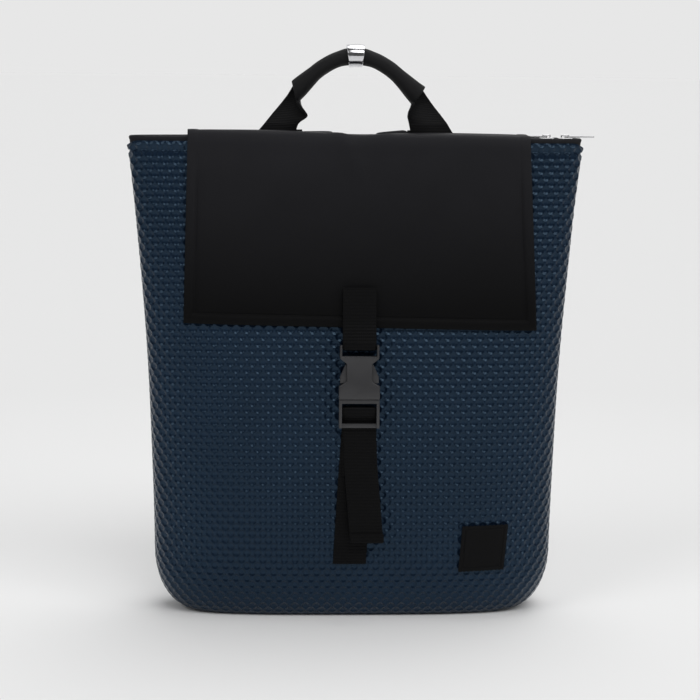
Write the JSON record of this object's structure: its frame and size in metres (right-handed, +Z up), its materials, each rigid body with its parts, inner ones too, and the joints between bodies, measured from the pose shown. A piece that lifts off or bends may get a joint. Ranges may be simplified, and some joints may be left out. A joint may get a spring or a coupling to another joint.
{
  "type": "flap backpack",
  "caption": "Upright tote-style backpack with an embossed body, top zip, front flap closed by webbing and a side-release buckle, carry handle and padded shoulder straps.",
  "frame": {"origin": "middle of the flat base, on the floor", "axes": "+Z up, -Y out of the front with the buckle, +X to the viewer's right when facing the front"},
  "size_m": [0.3496, 0.0947, 0.4311],
  "materials": {
    "embossed_hide": "embossed, satin",
    "flap_cloth": "fine smooth weave",
    "webbing": "ribbed weave",
    "buckle_plastic": "satin",
    "zip_tape": "woven",
    "zip_teeth": "satin",
    "zip_metal": "polished",
    "handle_cloth": "fine smooth weave",
    "clip_metal": "polished",
    "patch_cloth": "plain woven",
    "lining_cloth": "plain weave",
    "board": "matt",
    "pad_cloth": "air mesh"
  },
  "bodies": {
    "bag": {"front_shell": "embossed_hide", "back_shell": "embossed_hide", "base_panel": "embossed_hide", "base_board": "board", "lining_front": "lining_cloth", "lining_back": "lining_cloth", "lining_floor": "lining_cloth", "zip_tape_front": "zip_tape", "zip_tape_back": "zip_tape", "zip_teeth_front": "zip_teeth", "zip_teeth_back": "zip_teeth", "zip_stop_left": "zip_metal", "zip_stop_right": "zip_metal", "label_patch": "patch_cloth", "lower_webbing": "webbing", "flap_seam_tab": "flap_cloth", "handle_tab_left": "webbing", "handle_tab_right": "webbing", "back_pad": "pad_cloth", "shoulder_strap_left": "pad_cloth", "shoulder_strap_right": "pad_cloth", "strap_loop_left": "webbing", "strap_loop_right": "webbing", "strap_webbing_left": "webbing", "strap_webbing_right": "webbing", "strap_anchor_left": "webbing", "strap_anchor_right": "webbing", "strap_adjuster_left": "buckle_plastic", "strap_adjuster_right": "buckle_plastic"},
    "flap_top": {"flap_lid": "flap_cloth"},
    "flap_hanging": {"flap_front": "flap_cloth", "flap_lining": "lining_cloth", "flap_hem_left": "flap_cloth", "flap_hem_right": "flap_cloth", "flap_hem_low": "flap_cloth", "upper_webbing": "webbing", "buckle_socket": "buckle_plastic"},
    "buckle_plug": {"plug_frame": "buckle_plastic", "tail_webbing": "webbing"},
    "plug_arm_l": {"plug_arm_left": "buckle_plastic"},
    "plug_arm_r": {"plug_arm_right": "buckle_plastic"},
    "handle": {"handle_leg_left": "webbing", "handle_leg_right": "webbing", "handle_grip": "handle_cloth", "handle_core": "webbing", "handle_clip": "clip_metal"},
    "inner_slider": {"zip_slider_inner": "zip_metal", "zip_slider_under_inner": "zip_metal"},
    "inner_pull": {"zip_pull_inner": "zip_metal"},
    "outer_slider": {"zip_slider_outer": "zip_metal", "zip_slider_under_outer": "zip_metal"},
    "outer_pull": {"zip_pull_outer": "zip_metal"}
  },
  "joints": [
    {"name": "flap_lift", "type": "hinge", "parent": "bag", "child": "flap_top", "pos_m": [0, 0.0184, 0.363], "axis": [-1, 0, 0], "range_deg": [0, 60]},
    {"name": "flap_open", "type": "hinge", "parent": "flap_top", "child": "flap_hanging", "pos_m": [0, -0.0196, 0.3584], "axis": [-1, 0, 0], "range_deg": [0, 95]},
    {"name": "plug_release", "type": "slide", "parent": "bag", "child": "buckle_plug", "axis": [0, -0.0764, -0.9971], "range_m": [0, 0.03], "deforming": ["plug_arm_left", "plug_arm_right"]},
    {"name": "arm_left_press", "type": "hinge", "parent": "buckle_plug", "child": "plug_arm_l", "pos_m": [-0.0059, -0.04336, 0.1715], "axis": [0, 0.9971, -0.0764], "range_deg": [0, 8], "stiffness_Nm_per_rad": 0.5},
    {"name": "arm_right_press", "type": "hinge", "parent": "buckle_plug", "child": "plug_arm_r", "pos_m": [0.0105, -0.04336, 0.1715], "axis": [0, -0.9971, 0.0764], "range_deg": [0, 8], "stiffness_Nm_per_rad": 0.5},
    {"name": "handle_fold", "type": "hinge", "parent": "bag", "child": "handle", "pos_m": [0, 0.0217, 0.368], "axis": [-1, 0, 0], "range_deg": [0, 80]},
    {"name": "inner_slider_run", "type": "slide", "parent": "bag", "child": "inner_slider", "axis": [-1, 0, 0], "range_m": [0, 0.29]},
    {"name": "inner_pull_flip", "type": "hinge", "parent": "inner_slider", "child": "inner_pull", "pos_m": [0.1435, 0, 0.36355], "axis": [0, 1, 0], "range_deg": [0, 100]},
    {"name": "outer_slider_run", "type": "slide", "parent": "bag", "child": "outer_slider", "axis": [-1, 0, 0], "range_m": [0, 0.003]},
    {"name": "outer_pull_flip", "type": "hinge", "parent": "outer_slider", "child": "outer_pull", "pos_m": [0.1575, 0, 0.36355], "axis": [0, -1, 0], "range_deg": [0, 100]}
  ]
}
